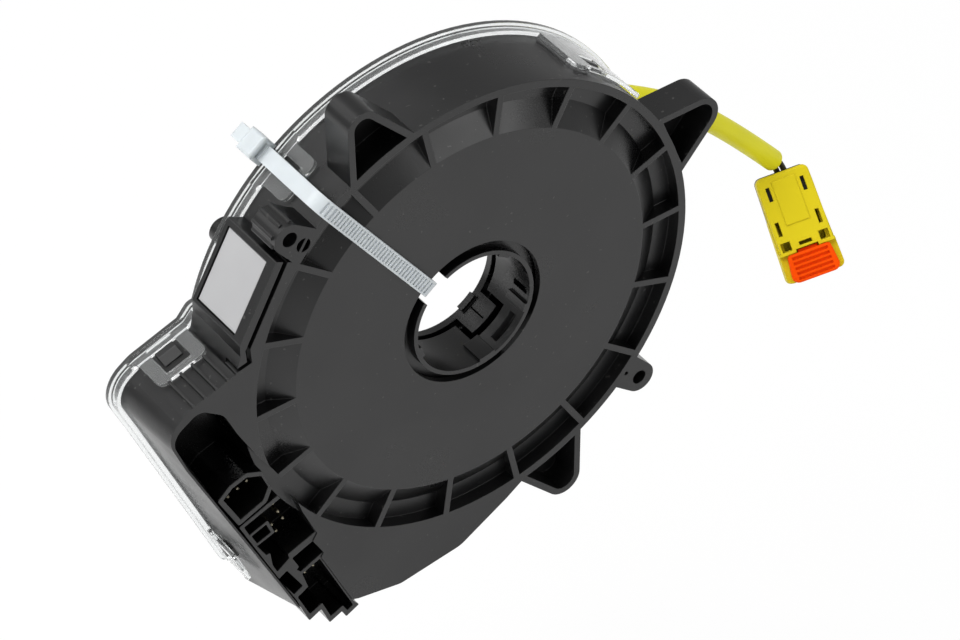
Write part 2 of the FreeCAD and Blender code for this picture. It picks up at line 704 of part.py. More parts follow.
def connector_block():
    """Socket housing of the vehicle harness, standing on the cover in the case's well."""
    well = well_low_points()
    plan = inset_points(well, 0.3)
    foot = -WELL_FLOOR - 0.5
    floor = slab(plan, -WELL_FLOOR - FLOOR_T, -WELL_FLOOR)
    skirt = slab(plan, COVER_TOP, -WELL_FLOOR)
    core = WELL_EDGE[:8] + FOOT_END + well[-len(WELL_OUT):]
    core = inset_points([(x, y, 0.0) for x, y, r in core], 0.3 + FOOT_WALL)
    hollow = slab(core, COVER_TOP - 1, -WELL_FLOOR - FLOOR_T)
    skirt = skirt.cut(hollow.cut(disc(RIM_R + 0.2 + FOOT_WALL, COVER_TOP - 2, 1)))
    base = floor.fuse(skirt).cut(disc(RIM_R + 0.2, COVER_TOP - 2, 1))
    rim = inset_points(well_points(), 0.05)[:-len(WELL_OUT)]
    rim += inset_points(well_points(), 0.3)[-len(WELL_OUT):]
    mouth = slab(rim, -PLATE_T - 0.05, -MOUTH)
    parts = []
    for outline in (TOWER, HOUSING):
        parts.append(slab(outline, foot, -PLATE_T - 0.05))
        parts.append(slab(outline, -PLATE_T - 0.05, -MOUTH).common(mouth))
    tools = [slab(inset_points(TOWER, 1.1), -WELL_FLOOR + 2.0, 1)]
    tools.extend([slab(p, -POCKET_DEPTH, 1) for p in POCKETS])
    tools.append(disc(RIM_R + 0.05, foot - 0.1, 1))
    shape = fuse([base] + parts)
    shape = cut(shape, tools)
    return fuse([shape] + socket_keys())


def socket_keys():
    """Hollow coding key inside the wide socket."""
    low = -POCKET_DEPTH - 0.5
    outer = slab(KEY_BOX, low, -MOUTH - 0.5)
    return [outer.cut(slab(inset_points(KEY_BOX, 0.7), low + 0.5, 1))]


PIN_ROWS = [
    ("pins_tower", -WELL_FLOOR + 2.0, 6.0,
     [(-60.2, 18.6), (-60.8, 16.2), (-57.8, 18.2), (-58.3, 15.6), (-55.4, 17.6), (-55.9, 15.0)]),
    ("pins_wide", -POCKET_DEPTH, 5.5,
     [(-56.3, 6.5), (-56.8, 3.9), (-58.6, 7.6), (-59.1, 5.0), (-57.6, 0.8), (-58.2, -1.8),
      (-60.6, -0.4), (-61.2, -3.0)]),
    ("pins_end", -POCKET_DEPTH, 5.5,
     [(-64.4, -16.4), (-65.2, -19.2), (-62.2, -17.0), (-63.0, -19.8)]),
]


def pins(floor, length, spots):
    """Square terminal pins with chamfered tips."""
    out = []
    half = PIN_W / 2
    for x, y in around(spots):
        bar = block(x - half, x + half, y - half, y + half, floor, floor + length)
        tips = [e for e in bar.Edges if abs(e.BoundBox.ZMin - floor - length) < 1e-6]
        out.append(bar.makeChamfer(0.18, tips))
    return out




def flat_cable():
    """Flat ribbon coil, wound in half turns from the drum to the outer wall."""
    turns = 2 * TAPE_TURNS
    step = (HOLDER_R - TAPE_T - TAPE_R0) / turns
    inner = []
    outer = []
    for k in range(turns):
        side = 1.0 if k % 2 == 0 else -1.0
        centre = 0.0 if k % 2 == 0 else step
        r = TAPE_R0 + k * step
        for edges, rr in ((inner, r), (outer, r + TAPE_T)):
            a = V(centre + side * rr, 0, 0)
            m = V(centre, side * rr, 0)
            b = V(centre - side * rr, 0, 0)
            edges.append(Part.Arc(a, m, b).toShape())
    first_in = inner[0].Vertexes[0].Point
    first_out = outer[0].Vertexes[0].Point
    last_in = inner[-1].Vertexes[-1].Point
    last_out = outer[-1].Vertexes[-1].Point
    caps = [Part.makeLine(first_in, first_out), Part.makeLine(last_in, last_out)]
    wire = Part.Wire(Part.__sortEdges__(inner + outer + caps))
    tape = Part.Face(wire)
    tape.translate(V(0, 0, -TAPE_LOW))
    tape = tape.extrude(V(0, 0, TAPE_LOW - TAPE_HIGH))
    return turned(tape, TAPE_ANGLE)


def cable_window():
    """Opening of the case wall for the cable's outer terminal."""
    shape = block(CHAMBER_R - 2.0, RIM_R + 2.0, -4.4, 4.4, -CASE_DEPTH - 1, -6.0)
    return turned(shape, TAPE_ANGLE)


def outer_terminal():
    """Holder that joins the cable's outer end to the socket terminals."""
    body = block(HOLDER_R, RIM_R + 2.6, -4.0, 4.0, COVER_TOP, -6.6)
    slot = block(HOLDER_R + 1.2, RIM_R + 1.6, -3.0, 3.0, COVER_TOP + 4.8, -6.0)
    return turned(body.cut(slot), TAPE_ANGLE)


def slip_sheets():
    """Thin plastic sheets above and below the coil."""
    floor = TROUGH_DEPTH + PLATE_T
    upper = ring(HOLDER_R - 0.4, PLATE_R + 0.5, -floor - 0.25, -floor)
    lower = ring(HOLDER_R - 0.4, COVER_HOLE_R + 0.6, COVER_TOP, COVER_TOP + 0.25)
    return [upper, lower]


def sector(half, z0, z1, degrees):
    """Wedge of space from the axis, half its angle to each side."""
    reach = 30.0
    pts = [V(0, 0, z0), polar(reach, -half, z0), polar(reach, half, z0), V(0, 0, z0)]
    return turned(Part.Face(Part.makePolygon(pts)).extrude(V(0, 0, z1 - z0)), degrees)


def tie_way():
    """Slot that lets the tie through at the edge of the plate's hole."""
    half = TIE_W / 2 + TIE_CLEAR
    return block(TIE_X - half, TIE_X + half, TIE_IN - TIE_T - TIE_CLEAR, TIE_IN + TIE_CLEAR,
                 -BORE_DEPTH - 3, 1)


def lock_ring():
    """Ring seen in the plate's hole, with the tie's notch, finger gaps and windows."""
    tube = ring(HUB_R, BORE_R, -RING_DEPTH, -PLATE_T - 1.0)
    tube = tube.fuse(ring(BORE_R + RING_EDGE_T, BORE_R, -PLATE_T - 1.0, -RING_TOP))
    lip = ring(RING_LIP_R, BORE_R + 0.4, -PLATE_T - 2.0, -PLATE_T - 0.6)
    foot = ring(RING_FOOT_R, BORE_R + 0.4, -RING_DEPTH, -RING_DEPTH + RING_FOOT_T)
    shape = tube.fuse(lip).fuse(foot)
    tools = [turned(block(BORE_R - 1, RING_LIP_R - 3.5, -3.4, 3.4, -5.2, 1), 95.0), tie_way()]
    for k in range(FINGER_COUNT):
        angle = FINGER_ANGLE + 360.0 / FINGER_COUNT * k
        tools.append(sector(FINGER_HALF + FINGER_GAP, -RING_DEPTH - 1, -FINGER_TOP_GAP, angle))
    for angle, half, low, high in RING_WINDOWS:
        tools.append(sector(half, low, high, angle).common(disc(HUB_R + 0.3, low, high)))
    shape = cut(shape, tools)
    ridges = []
    for angle, half in RING_RIDGES:
        ridge = ring(BORE_R + 0.5, BORE_R - 0.6, -5.5, -RING_TOP)
        ridges.append(ridge.common(sector(half, -6, 1, angle)))
    return fuse([shape] + ridges)


def rotor_edge():
    """Raised rim of the rotor's front disc."""
    return ring(ROTOR_R, ROTOR_R - EDGE_T, ROTOR_FRONT - EDGE_H, ROTOR_REAR)


def rotor():
    """Rotor: bore with snap fingers, dished web, cable drum and front disc."""
    low = -BORE_DEPTH
    web = ring(DRUM_R, BORE_R, low, low + WEB_T)
    collar = ring(RING_FOOT_R + 0.6, BORE_R + 1.9, low, -RING_DEPTH)
    drum = ring(DRUM_R, RECESS_R, ROTOR_FRONT, -TAPE_HIGH + 0.4)
    plate = ring(ROTOR_R, RECESS_R, ROTOR_FRONT, ROTOR_REAR)
    body = [web, collar, drum, plate, rotor_edge()]
    for k in range(8):
        rib = block(RING_FOOT_R, RECESS_R + 0.5, -0.6, 0.6, low - 2.0, low + 0.5)
        body.append(turned(rib, 20.0 + 45.0 * k))
    finger = ring(BORE_R + 1.3, BORE_R, low, FINGER_TOP)
    for k in range(FINGER_COUNT):
        angle = FINGER_ANGLE + 360.0 / FINGER_COUNT * k
        body.append(finger.common(sector(FINGER_HALF, low, FINGER_TOP, angle)))
        lug = ring(BORE_R + 0.5, BORE_R - 0.9, low, low + WEB_T)
        body.append(lug.common(sector(9.0, low - 1, 0, angle + 1.0)))
    shape = fuse(body)
    tools = [shell_seat(), tie_way()]
    for k in range(FINGER_COUNT):
        slit = block(BORE_R - 1, BORE_R + 2.0, -0.15, 0.15, low + WEB_T + 0.4, FINGER_TOP - 0.8)
        tools.append(turned(slit, FINGER_ANGLE + 360.0 / FINGER_COUNT * k))
    half = TIE_W / 2 + 0.6
    tools.append(block(TIE_X - half, TIE_X + half, ROTOR_R - 4.0, ROTOR_R + 1.0,
                       ROTOR_FRONT - EDGE_H - 1.0, ROTOR_FRONT))
    return cut(shape, tools)


def drive_bosses():
    """Two round bosses on the rotor's front that turn with the steering wheel."""
    out = []
    for k in range(2):
        p = polar(DRIVE_PIN_R, DRIVE_PIN_ANGLE + 180.0 * k)
        boss = disc(DRIVE_PIN_W / 2, DRIVE_PIN_TIP, ROTOR_FRONT, p.x, p.y)
        rim = [e for e in boss.Edges if e.BoundBox.ZMax < DRIVE_PIN_TIP + 0.1]
        boss = boss.makeChamfer(0.5, rim)
        out.append(boss.cut(rotor_edge()))
    return out



# Windows of the lock ring: angle, half angle, lower and upper height
RING_WINDOWS = [(-44.0, 3.0, -5.0, -0.5), (-84.0, 14.0, -3.2, -1.2), (-20.0, 3.0, -1.5, 0.0),
                (140.0, 8.0, -5.0, -3.8)]

# Inner ridges of the lock ring: angle and half angle
RING_RIDGES = [(-58.0, 4.0), (-113.0, 8.0), (20.0, 6.0), (160.0, 6.0)]

# Control points of the airbag lead's centreline, all at one height
LEAD = [V(38.3, 14.5, LEAD_Z), V(46.2, -11.2, LEAD_Z), V(59.2, -38.5, LEAD_Z),
        V(64.2, -61.8, LEAD_Z), V(66.0, -84.2, LEAD_Z)]


def lead_tower():
    """Raised housing on the rotor that the airbag lead leaves from."""
    a = LEAD[0]
    d = (LEAD[1] - LEAD[0]).normalize()
    side = V(-d.y, d.x, 0)
    p = [a - d * 7.0 - side * 5.0, a + d * 1.4 - side * 5.0, a + d * 1.4 + side * 5.0,
         a - d * 7.0 + side * 5.0]
    body = slab([(q.x, q.y, 1.0) for q in p], LEAD_Z - 4.2, ROTOR_FRONT)
    body = body.cut(ring(RIM_R, ROTOR_R - EDGE_T, ROTOR_FRONT - EDGE_H, ROTOR_FRONT + 1))
    return body.cut(lead_bore())


def lead_bore():
    """Blind bore of the lead tower for the lead's end."""
    d = (LEAD[1] - LEAD[0]).normalize()
    return Part.makeCylinder(LEAD_R, 12.0, LEAD[0], d)


def tube_path(points):
    """Straight runs joined by tangent arcs, with the arcs' radii."""
    edges = []
    radii = []
    here = points[0]
    for i in range(1, len(points) - 1):
        p = points[i]
        back = (points[i - 1] - p)
        ahead = (points[i + 1] - p)
        short = min(back.Length, ahead.Length)
        ub = back.normalize()
        ua = ahead.normalize()
        half = ub.getAngle(ua) / 2.0
        cut_len = 0.45 * short
        r = cut_len * math.tan(half)
        radii.append(round(r, 2))
        s = p + ub * cut_len
        e = p + ua * cut_len
        m = p + (ub + ua).normalize() * (r / math.sin(half) - r)
        edges.append(Part.makeLine(here, s))
        edges.append(Part.Arc(s, m, e).toShape())
        here = e
    edges.append(Part.makeLine(here, points[-1]))
    return Part.Wire(edges), radii


def tube(name, points, radius):
    """Round tube along a centreline, checked against section times length."""
    path, radii = tube_path(points)
    d = (points[1] - points[0]).normalize()
    ring_wire = Part.Wire([Part.makeCircle(radius, points[0], d)])
    solid = path.makePipeShell([ring_wire], True, True)
    want = math.pi * radius * radius * path.Length
    print(name, "length", round(path.Length, 2), "radii", radii, "volume", round(solid.Volume, 1),
          "section times length", round(want, 1))
    return solid


def shell_frame(shape):
    """Move a shape from the wheel connector's own frame onto the rotor."""
    out = shape.copy()
    out.rotate(V(0, 0, 0), V(0, 0, 1), SHELL_ANGLE)
    return out


def wheel_connector():
    """Socket for the wheel switches on the rotor's front."""
    x0 = SHELL_R - SHELL_W / 2
    x1 = SHELL_R + SHELL_W / 2
    body = block(x0, x1, -SHELL_L / 2, SHELL_L / 2, ROTOR_FRONT - SHELL_H, ROTOR_FRONT)
    edges = [e for e in body.Edges if abs(e.BoundBox.ZLength - SHELL_H) < 1e-6]
    body = body.makeFillet(1.2, edges)
    pocket = block(x0 + 1.2, x1 - 1.2, -SHELL_L / 2 + 1.2, SHELL_L / 2 - 1.2,
                   ROTOR_FRONT - SHELL_H - 1, ROTOR_FRONT - 1.4)
    notch = block(x1 - 1.6, x1 + 1, -3.0, 3.0, ROTOR_FRONT - SHELL_H - 1, ROTOR_FRONT - 6.5)
    tongue = block(x0 + 3.0, x1 - 3.0, -SHELL_L / 2 + 1.0, -SHELL_L / 2 + 3.4,
                   ROTOR_FRONT - SHELL_H + 1.5, ROTOR_FRONT - 1.0)
    foot = block(x0 + 2.4, x1 - 2.4, -SHELL_L / 2 + 3, SHELL_L / 2 - 3,
                 ROTOR_FRONT - 0.5, ROTOR_FRONT + 1.2)
    shape = body.cut(pocket).cut(notch).fuse(tongue).fuse(foot)
    return shell_frame(shape.removeSplitter())


def shell_seat():
    """Seat of the wheel connector's foot in the rotor disc."""
    x0 = SHELL_R - SHELL_W / 2
    x1 = SHELL_R + SHELL_W / 2
    seat = block(x0 + 2.4, x1 - 2.4, -SHELL_L / 2 + 3, SHELL_L / 2 - 3,
                 ROTOR_FRONT - 1, ROTOR_FRONT + 1.2)
    room = block(x0, x1, -SHELL_L / 2, SHELL_L / 2, ROTOR_FRONT - SHELL_H, ROTOR_FRONT)
    return shell_frame(seat.fuse(room))


def wheel_pins():
    """Two rows of pins of the wheel connector."""
    out = []
    half = PIN_W / 2
    for row in (-1.4, 1.4):
        for k in range(6):
            y = -6.0 + 2.54 * k
            x = SHELL_R + row
            bar = block(x - half, x + half, y - half, y + half,
                        ROTOR_FRONT - SHELL_H + 3.5, ROTOR_FRONT - 1.4)
            low = [e for e in bar.Edges
                   if abs(e.BoundBox.ZMax - (ROTOR_FRONT - SHELL_H + 3.5)) < 1e-6]
            out.append(shell_frame(bar.makeChamfer(0.18, low)))
    return out


def airbag_lead():
    """Yellow sleeve of the airbag lead with a blind end for its two wires."""
    sleeve = tube("airbag_lead", LEAD, LEAD_R)
    d = (LEAD[-1] - LEAD[-2]).normalize()
    bore = Part.makeCylinder(LEAD_R - 0.6, SLEEVE_BORE + 1.0, LEAD[-1] - d * SLEEVE_BORE, d)
    return sleeve.cut(bore)


# Axes of the plug in the build frame: along, across and towards its face
PLUG_ALONG = V(-0.4916, -0.5245, 0.6956)
PLUG_FACE = V(0.0388, 0.7845, 0.6189)
PLUG_ACROSS = PLUG_ALONG.cross(PLUG_FACE)


def plug_origin():
    """Centre of the plug's cable end."""
    d = (LEAD[-1] - LEAD[-2]).normalize()
    reach = WIRE_BEND * math.tan(d.getAngle(PLUG_ALONG) / 2.0)
    return LEAD[-1] + d * (reach + 0.2) + PLUG_ALONG * (reach + 0.3)


def plug_matrix():
    """Placement of the plug's own frame: x across, y along, z towards the face."""
    o = plug_origin()
    a = PLUG_ACROSS.normalize()
    b = PLUG_FACE.cross(a).normalize()
    c = a.cross(b).normalize()
    return FreeCAD.Matrix(a.x, b.x, c.x, o.x, a.y, b.y, c.y, o.y, a.z, b.z, c.z, o.z, 0, 0, 0, 1)


def plug_place(shape):
    """Move a shape from the plug's own frame into the build frame."""
    out = shape.copy()
    out.translate(V(PLUG_SHIFT, 0, 0))
    out.Placement = FreeCAD.Placement(plug_matrix()).multiply(out.Placement)
    return out


def lead_wires():
    """Two black wires from the sleeve's blind end into the plug's rear cover."""
    d = (LEAD[-1] - LEAD[-2]).normalize()
    a = PLUG_ALONG.normalize()
    off = d.cross(a).normalize() * WIRE_GAP
    reach = WIRE_BEND * math.tan(d.getAngle(a) / 2.0)
    bend = LEAD[-1] + d * (reach + 0.2)
    start = LEAD[-1] - d * SLEEVE_BORE
    stop = bend + a * (reach + 0.3 + PLUG_WIRE_DEPTH)
    s = bend - d * reach
    e = bend + a * reach
    half = math.pi / 2.0 - d.getAngle(a) / 2.0
    m = bend + (a - d).normalize() * (WIRE_BEND / math.sin(half) - WIRE_BEND)
    wires = []
    for side in (1.0, -1.0):
        o = off * side
        path = Part.Wire([Part.makeLine(start + o, s + o), Part.Arc(s + o, m + o, e + o).toShape(),
                          Part.makeLine(e + o, stop + o)])
        ring_wire = Part.Wire([Part.makeCircle(WIRE_R, start + o, d)])
        wire = path.makePipeShell([ring_wire], True, True)
        print("lead wire length", round(path.Length, 2), "volume", round(wire.Volume, 2))
        wires.append(wire)
    return wires


def plug_shell(inset, y0, y1, z0, z1, edge):
    """Tapered block with rounded corners seen from above and rounded rims."""
    rear = PLUG_W / 2 - PLUG_TAPER - inset
    front = PLUG_W / 2 - inset
    plan = [(-rear, y0, 1.5), (rear, y0, 1.5), (front, PLUG_L, 1.3), (-front, PLUG_L, 1.3)]
    body = slab(plan, z0, z1)
    if y1 < PLUG_L:
        body = body.cut(block(-20, 20, y1, PLUG_L + 1, z0 - 1, z1 + 1))
    rims = [e for e in body.Edges if e.BoundBox.ZLength < 1e-6 and e.BoundBox.YMax < y1 - 0.01]
    return body.makeFillet(edge, rims)


def wire_bores():
    """Two bores of the plug for the lead's wires, in the plug's own frame."""
    d = (LEAD[-1] - LEAD[-2]).normalize()
    off = d.cross(PLUG_ALONG).normalize()
    out = []
    for side in (WIRE_GAP, -WIRE_GAP):
        x = off.dot(PLUG_ACROSS.normalize()) * side - PLUG_SHIFT
        z = off.dot(PLUG_FACE) * side
        start = V(x, PLUG_REAR - 1.0, z)
        depth = PLUG_WIRE_DEPTH - PLUG_REAR + 1.0
        out.append(Part.makeCylinder(WIRE_R + 0.05, depth, start, V(0, 1, 0)))
    return out


def plug_core(gap):
    """Inner block behind the shell's windows, larger by gap on each side."""
    w = PLUG_W / 2 - PLUG_TAPER - PLUG_SKIN + gap
    return block(-w, w, 1.2 - gap, LOCK_Y0 - 1.2 + gap, PLUG_SPLIT - 0.1,
                 PLUG_T / 2 - PLUG_SKIN + gap)


def plug_body():
    """Yellow plug shell with its windows, latch slots and mating pocket."""
    w = PLUG_W / 2
    t = PLUG_T / 2
    body = plug_shell(0.0, PLUG_REAR, PLUG_L, -t, t, 0.7)
    step = block(-w - 1, w + 1, LOCK_Y0 - 0.1, PLUG_L + 1, t - 1.2, t + 1)
    low = block(-w - 1, w + 1, -2.0, PLUG_COVER_L, -t - 1, PLUG_SPLIT)
    mate = block(-w + 1.2, w - 1.2, PLUG_L - 5.0, PLUG_L + 1, -t + 1.2, t - 2.4)
    tools = [step, low, mate, plug_core(0.05)] + wire_bores()
    for side in (-1.0, 1.0):
        rail = w - 0.6 if side > 0 else -w - 1.0
        tools.append(block(rail, rail + 1.6, 3.0, PLUG_L - 7.0, 1.4, t + 1))
        for x, y in ((4.6, 1.6), (5.3, 9.6)):
            mid = side * (x - 0.55)
            tools.append(block(mid - 0.45, mid + 0.45, y, y + 3.2, t - 2.0, t + 1))
        mid = side * 4.5
        tools.append(block(mid - 1.1, mid + 1.1, LOCK_Y0 - 3.0, LOCK_Y0 - 0.9, t - 2.0, t + 1))
    tools.append(block(-1.5, 1.5, LOCK_Y0 - 2.2, LOCK_Y0 - 1.4, t - 2.0, t + 1))
    tools.append(block(-2.6, 2.6, LOCK_Y0 - 0.8, PLUG_L + 1, t - 3.0, t + 1))
    shape = cut(body, tools)
    ridge = block(-w + 4.0, w - 4.0, 0.6, 11.0, t - 0.3, t + 0.3)
    ridge = ridge.makeFillet(0.25, [e for e in ridge.Edges if e.BoundBox.ZMin > t + 0.25])
    return plug_place(fuse([shape, ridge]))


def plug_cover():
    """Dark cable-end cover under the yellow shell, with the inner block behind its windows."""
    t = PLUG_T / 2
    body = plug_shell(0.1, PLUG_REAR - 0.2, PLUG_COVER_L, -t, PLUG_SPLIT, 0.5)
    inner = plug_core(0.0).common(block(-20, 20, -1, PLUG_COVER_L, -t, t))
    return plug_place(cut(body.fuse(inner).removeSplitter(), wire_bores()))


def plug_terminals():
    """Two terminals in the plug's mating pocket."""
    out = []
    for x in (-1.9, 1.9):
        out.append(plug_place(block(x - 0.8, x + 0.8, PLUG_L - 5.0, PLUG_L - 1.4, -1.4, 0.0)))
    return out


def plug_lock():
    """Orange locking slide with finger grooves."""
    t = PLUG_T / 2
    w = LOCK_W / 2
    top = t + 0.9
    plan = [(-w + 0.8, LOCK_Y0, 0.8), (w - 0.8, LOCK_Y0, 0.8), (w, LOCK_Y0 + LOCK_L, 1.6),
            (-w, LOCK_Y0 + LOCK_L, 1.6)]
    body = slab(plan, t - 0.9, top)
    body = body.makeFillet(0.4, [e for e in body.Edges if e.BoundBox.ZMin > top - 0.01])
    stem = block(-2.3, 2.3, LOCK_Y0 - 0.6, LOCK_Y0 + LOCK_L - 0.4, t - 2.7, t - 0.8)
    shape = body.fuse(stem).removeSplitter()
    tools = []
    for k in range(5):
        y = LOCK_Y0 + 0.7 + 1.15 * k
        tools.append(block(-w + 1.6, w - 1.6, y, y + 0.6, top - 0.5, top + 1))
    return plug_place(cut(shape, tools))


def tie_loop(grow):
    """Solid under the tie's loop, moved outwards by grow, drawn across the tie's width."""
    y0 = TIE_IN - grow
    y1 = TIE_OUT + grow
    z0 = TIE_FRONT - grow
    z1 = TIE_REAR + grow
    small = 1.0 + grow
    plan = [(z0, y0, small), (z0, y1, small), (z1, y1, TIE_BEND + grow), (z1, y0, small)]
    return upright([(y, z, r) for z, y, r in plan], 0.0, TIE_W)


def tie_teeth():
    """Cuts between the strap's teeth, along its flat run and round its outer bend."""
    out = []
    bend_y = TIE_OUT - TIE_BEND
    top = TIE_REAR + TIE_T
    y = TIE_IN + 1.2
    while y < bend_y:
        out.append(block(0.45, TIE_W - 0.45, y, y + 0.5, top - 0.28, top + 1))
        y += TOOTH_PITCH
    centre = V(0, bend_y, TIE_REAR - TIE_BEND)
    step = math.degrees(TOOTH_PITCH / (TIE_BEND + TIE_T))
    for k in range(int(50.0 / step)):
        tooth = block(0.45, TIE_W - 0.45, bend_y, bend_y + 0.5, top - 0.28, top + 1)
        tooth.rotate(centre, V(1, 0, 0), -step * k)
        out.append(tooth)
    return out


def shipping_tie():
    """Cable tie through the bore and round the rim, with teeth, head and trimmed tail."""
    loop = cut(tie_loop(TIE_T).cut(tie_loop(0.0)), tie_teeth())
    y1 = TIE_OUT
    low = TIE_FRONT
    head = block(-HEAD_RIM, TIE_W + HEAD_RIM, y1 - 0.25, y1 + HEAD_T, low, low + HEAD_L)
    head = head.makeFillet(0.7, [e for e in head.Edges if e.BoundBox.YMin > y1 + HEAD_T - 0.1])
    gate = block(0.0, TIE_W, y1 + TIE_T + 0.3, y1 + TIE_T + 1.6, low - 2.0, low + 9.0)
    tail = block(0.0, TIE_W, y1 + TIE_T + 0.3, y1 + TIE_T + 1.6, low - 3.6, low + 4.0)
    shape = loop.fuse(head.cut(gate)).fuse(tail).removeSplitter()
    shape.translate(V(TIE_X - TIE_W / 2, 0, 0))
    return shape


def main():
    """Build and write every node."""
    os.makedirs("parts", exist_ok=True)
    save("rear_case", [case()])
    save("clear_cover", [cover()])
    save("side_label", [side_label()])
    save("connector_block", [connector_block()])
    for node, floor, length, spots in PIN_ROWS:
        save(node, pins(floor, length, spots))
    save("flat_cable", [flat_cable()])
    save("outer_terminal", [outer_terminal()])
    save("slip_sheets", slip_sheets())
    save("lock_ring", [lock_ring()])
    save("rotor", [rotor()])
    save("lead_housing", [lead_tower()])
    save("drive_bosses", drive_bosses())
    save("wheel_connector", [wheel_connector()])
    save("wheel_pins", wheel_pins())
    save("airbag_lead", [airbag_lead()])
    wires = lead_wires()
    save("lead_wire_a", [wires[0]])
    save("lead_wire_b", [wires[1]])
    save("plug_body", [plug_body()])
    save("plug_cover", [plug_cover()])
    save("plug_terminals", plug_terminals())
    save("plug_lock", [plug_lock()])
    save("shipping_tie", [shipping_tie()])


main()
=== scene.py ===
"""Looks of the steering clock spring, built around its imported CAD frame.

The row frame is used throughout, in metres: the steering axis is Y, the column side
looks along -Y, Z is up and the origin is the bore centre on the column-side face.
"""

import logging
import math
from dataclasses import dataclass, field
from enum import Enum

import bpy
from mathutils import Matrix, Vector


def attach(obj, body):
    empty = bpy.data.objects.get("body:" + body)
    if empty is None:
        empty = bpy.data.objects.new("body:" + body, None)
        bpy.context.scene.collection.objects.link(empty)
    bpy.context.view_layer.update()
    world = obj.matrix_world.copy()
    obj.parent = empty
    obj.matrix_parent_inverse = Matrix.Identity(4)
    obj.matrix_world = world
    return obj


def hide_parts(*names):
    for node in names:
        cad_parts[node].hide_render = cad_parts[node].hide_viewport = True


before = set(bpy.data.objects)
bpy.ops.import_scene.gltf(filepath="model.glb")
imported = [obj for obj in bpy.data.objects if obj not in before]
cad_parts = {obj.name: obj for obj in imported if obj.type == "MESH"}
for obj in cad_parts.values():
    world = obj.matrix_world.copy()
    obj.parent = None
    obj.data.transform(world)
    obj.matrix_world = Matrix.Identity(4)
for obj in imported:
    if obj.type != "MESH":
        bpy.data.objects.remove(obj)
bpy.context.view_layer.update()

LOG = logging.getLogger("clock_spring")
MM = 0.001
IN_PLANE_TURN = math.radians(37.06)
BEVEL_SAMPLES = 4
Colour = tuple[float, float, float]


def from_build(x: float, y: float, z: float) -> Vector:
    """Point of the CAD build frame as a point of the row frame.

    Args:
        x: First in-plane coordinate in millimetres.
        y: Second in-plane coordinate in millimetres.
        z: Height over the column-side face in millimetres.

    Returns:
        The point in metres.
    """
    c, s = math.cos(IN_PLANE_TURN), math.sin(IN_PLANE_TURN)
    return Vector((x * c - y * s, -z, x * s + y * c)) * MM


class Sock:
    """A shader value that can be used in Python expressions."""

    def __init__(self, graph: "Graph", socket: bpy.types.NodeSocket) -> None:
        """Wrap an output socket of a node.

        Args:
            graph: Node tree that the socket belongs to.
            socket: Output socket.
        """
        self.graph = graph
        self.socket = socket

    def _math(self, operation: str, first: object, second: object) -> "Sock":
        """Add one Math node.

        Args:
            operation: Operation of the node.
            first: Number or wrapped socket.
            second: Number or wrapped socket.

        Returns:
            The wrapped result.
        """
        return self.graph.node(
            "ShaderNodeMath", {"operation": operation}, {0: first, 1: second}
        )

    def __add__(self, other: object) -> "Sock":
        """Sum."""
        return self._math("ADD", self, other)

    def __radd__(self, other: object) -> "Sock":
        """Sum with the value on the right."""
        return self._math("ADD", other, self)

    def __sub__(self, other: object) -> "Sock":
        """Difference."""
        return self._math("SUBTRACT", self, other)

    def __rsub__(self, other: object) -> "Sock":
        """Difference with the value on the right."""
        return self._math("SUBTRACT", other, self)

    def __mul__(self, other: object) -> "Sock":
        """Product."""
        return self._math("MULTIPLY", self, other)

    def __rmul__(self, other: object) -> "Sock":
        """Product with the value on the right."""
        return self._math("MULTIPLY", other, self)

    def __gt__(self, other: object) -> "Sock":
        """One where this value is greater, otherwise zero."""
        return self._math("GREATER_THAN", self, other)

    def clamped(self) -> "Sock":
        """Value held between 0 and 1."""
        return self.graph.node("ShaderNodeClamp", {}, {0: self})

    def spread(self, low: float, high: float, start: float, end: float) -> "Sock":
        """Value mapped from low..high to start..end and held there.

        Args:
            low: Input that gives start.
            high: Input that gives end.
            start: Output at low.
            end: Output at high.

        Returns:
            The mapped value.
        """
        return self.graph.node(
            "ShaderNodeMapRange", {}, {0: self, 1: low, 2: high, 3: start, 4: end}
        )


